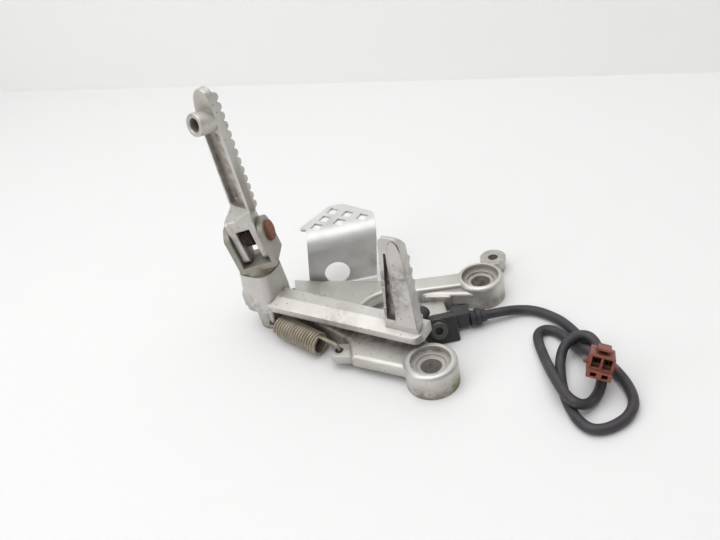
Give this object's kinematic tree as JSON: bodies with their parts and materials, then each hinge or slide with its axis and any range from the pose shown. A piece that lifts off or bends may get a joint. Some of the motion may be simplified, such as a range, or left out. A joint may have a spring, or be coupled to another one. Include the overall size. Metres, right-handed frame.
{
  "type": "motorcycle footrest hanger",
  "caption": "Forked cast footrest hanger with a folding toothed peg, sprung brake pedal, heel guard, and a brake light switch with lead and connector",
  "frame": {"origin": "centre of the lower frame bolt hole, on the face that seats against the frame", "axes": "+Z outboard from the frame along both frame bolts, +X from the pedal pivot towards the switch lead, +Y from the lower frame bolt towards the heel guard"},
  "size_m": [0.1782, 0.177, 0.1429],
  "materials": {
    "cast_aluminium": "blasted casting, lightly grimed",
    "peg_aluminium": "blasted casting with a dirty underside",
    "polished_sheet": "polished sheet",
    "grey_paint": "satin olive grey paint",
    "rusty_steel": "surface rust",
    "zinc_steel": "zinc plated",
    "spring_wire": "dulled zinc plate",
    "bush_bronze": "bare bearing bronze",
    "switch_black": "satin moulded plastic",
    "plunger_plastic": "smooth moulded plastic",
    "grey_screw": "dark plated",
    "black_rubber": "matte rubber",
    "black_vinyl": "satin vinyl sheath",
    "red_brown_plastic": "dulled moulded plastic",
    "terminal_brass": "stamped brass"
  },
  "bodies": {
    "hanger": {"hanger_casting": "cast_aluminium", "tab_collar": "zinc_steel", "heel_guard": "polished_sheet", "heel_guard_screws": "zinc_steel", "peg_clevis": "grey_paint", "clevis_bolt": "zinc_steel", "clevis_washer": "zinc_steel", "pedal_washers": "zinc_steel", "peg_pin": "rusty_steel", "peg_pin_clip": "rusty_steel", "peg_return_spring": "spring_wire", "pedal_return_spring": "spring_wire", "switch_body": "switch_black", "switch_screw": "grey_screw", "switch_washer": "grey_screw", "switch_boot": "black_rubber", "lead": "black_vinyl", "connector_housing": "red_brown_plastic", "connector_terminals": "terminal_brass"},
    "peg": {"footpeg": "peg_aluminium"},
    "pedal": {"brake_pedal": "cast_aluminium", "pedal_bush": "bush_bronze"},
    "plunger": {"switch_plunger": "plunger_plastic"}
  },
  "joints": [
    {"name": "peg_fold", "type": "hinge", "parent": "hanger", "child": "peg", "pos_m": [-0.0775, 0.075, 0.058], "axis": [-0.9716, 0.1608, -0.1736], "range_deg": [0, 85], "stiffness_Nm_per_rad": 0.06, "springref_deg": -51.57},
    {"name": "pedal_pivot", "type": "hinge", "parent": "hanger", "child": "pedal", "pos_m": [-0.077, 0.075, 0.02], "axis": [0, 0, -1], "range_deg": [0, 12], "stiffness_Nm_per_rad": 2, "springref_deg": -22.92, "deforming": ["pedal_return_spring"]},
    {"name": "plunger_slide", "type": "slide", "parent": "hanger", "child": "plunger", "axis": [-0.5892, -0.808, 0], "range_m": [0, 0.003]}
  ],
  "couplings": [
    {"joint": "plunger_slide", "follows": "pedal_pivot", "m_per_rad": 0.014324}
  ]
}
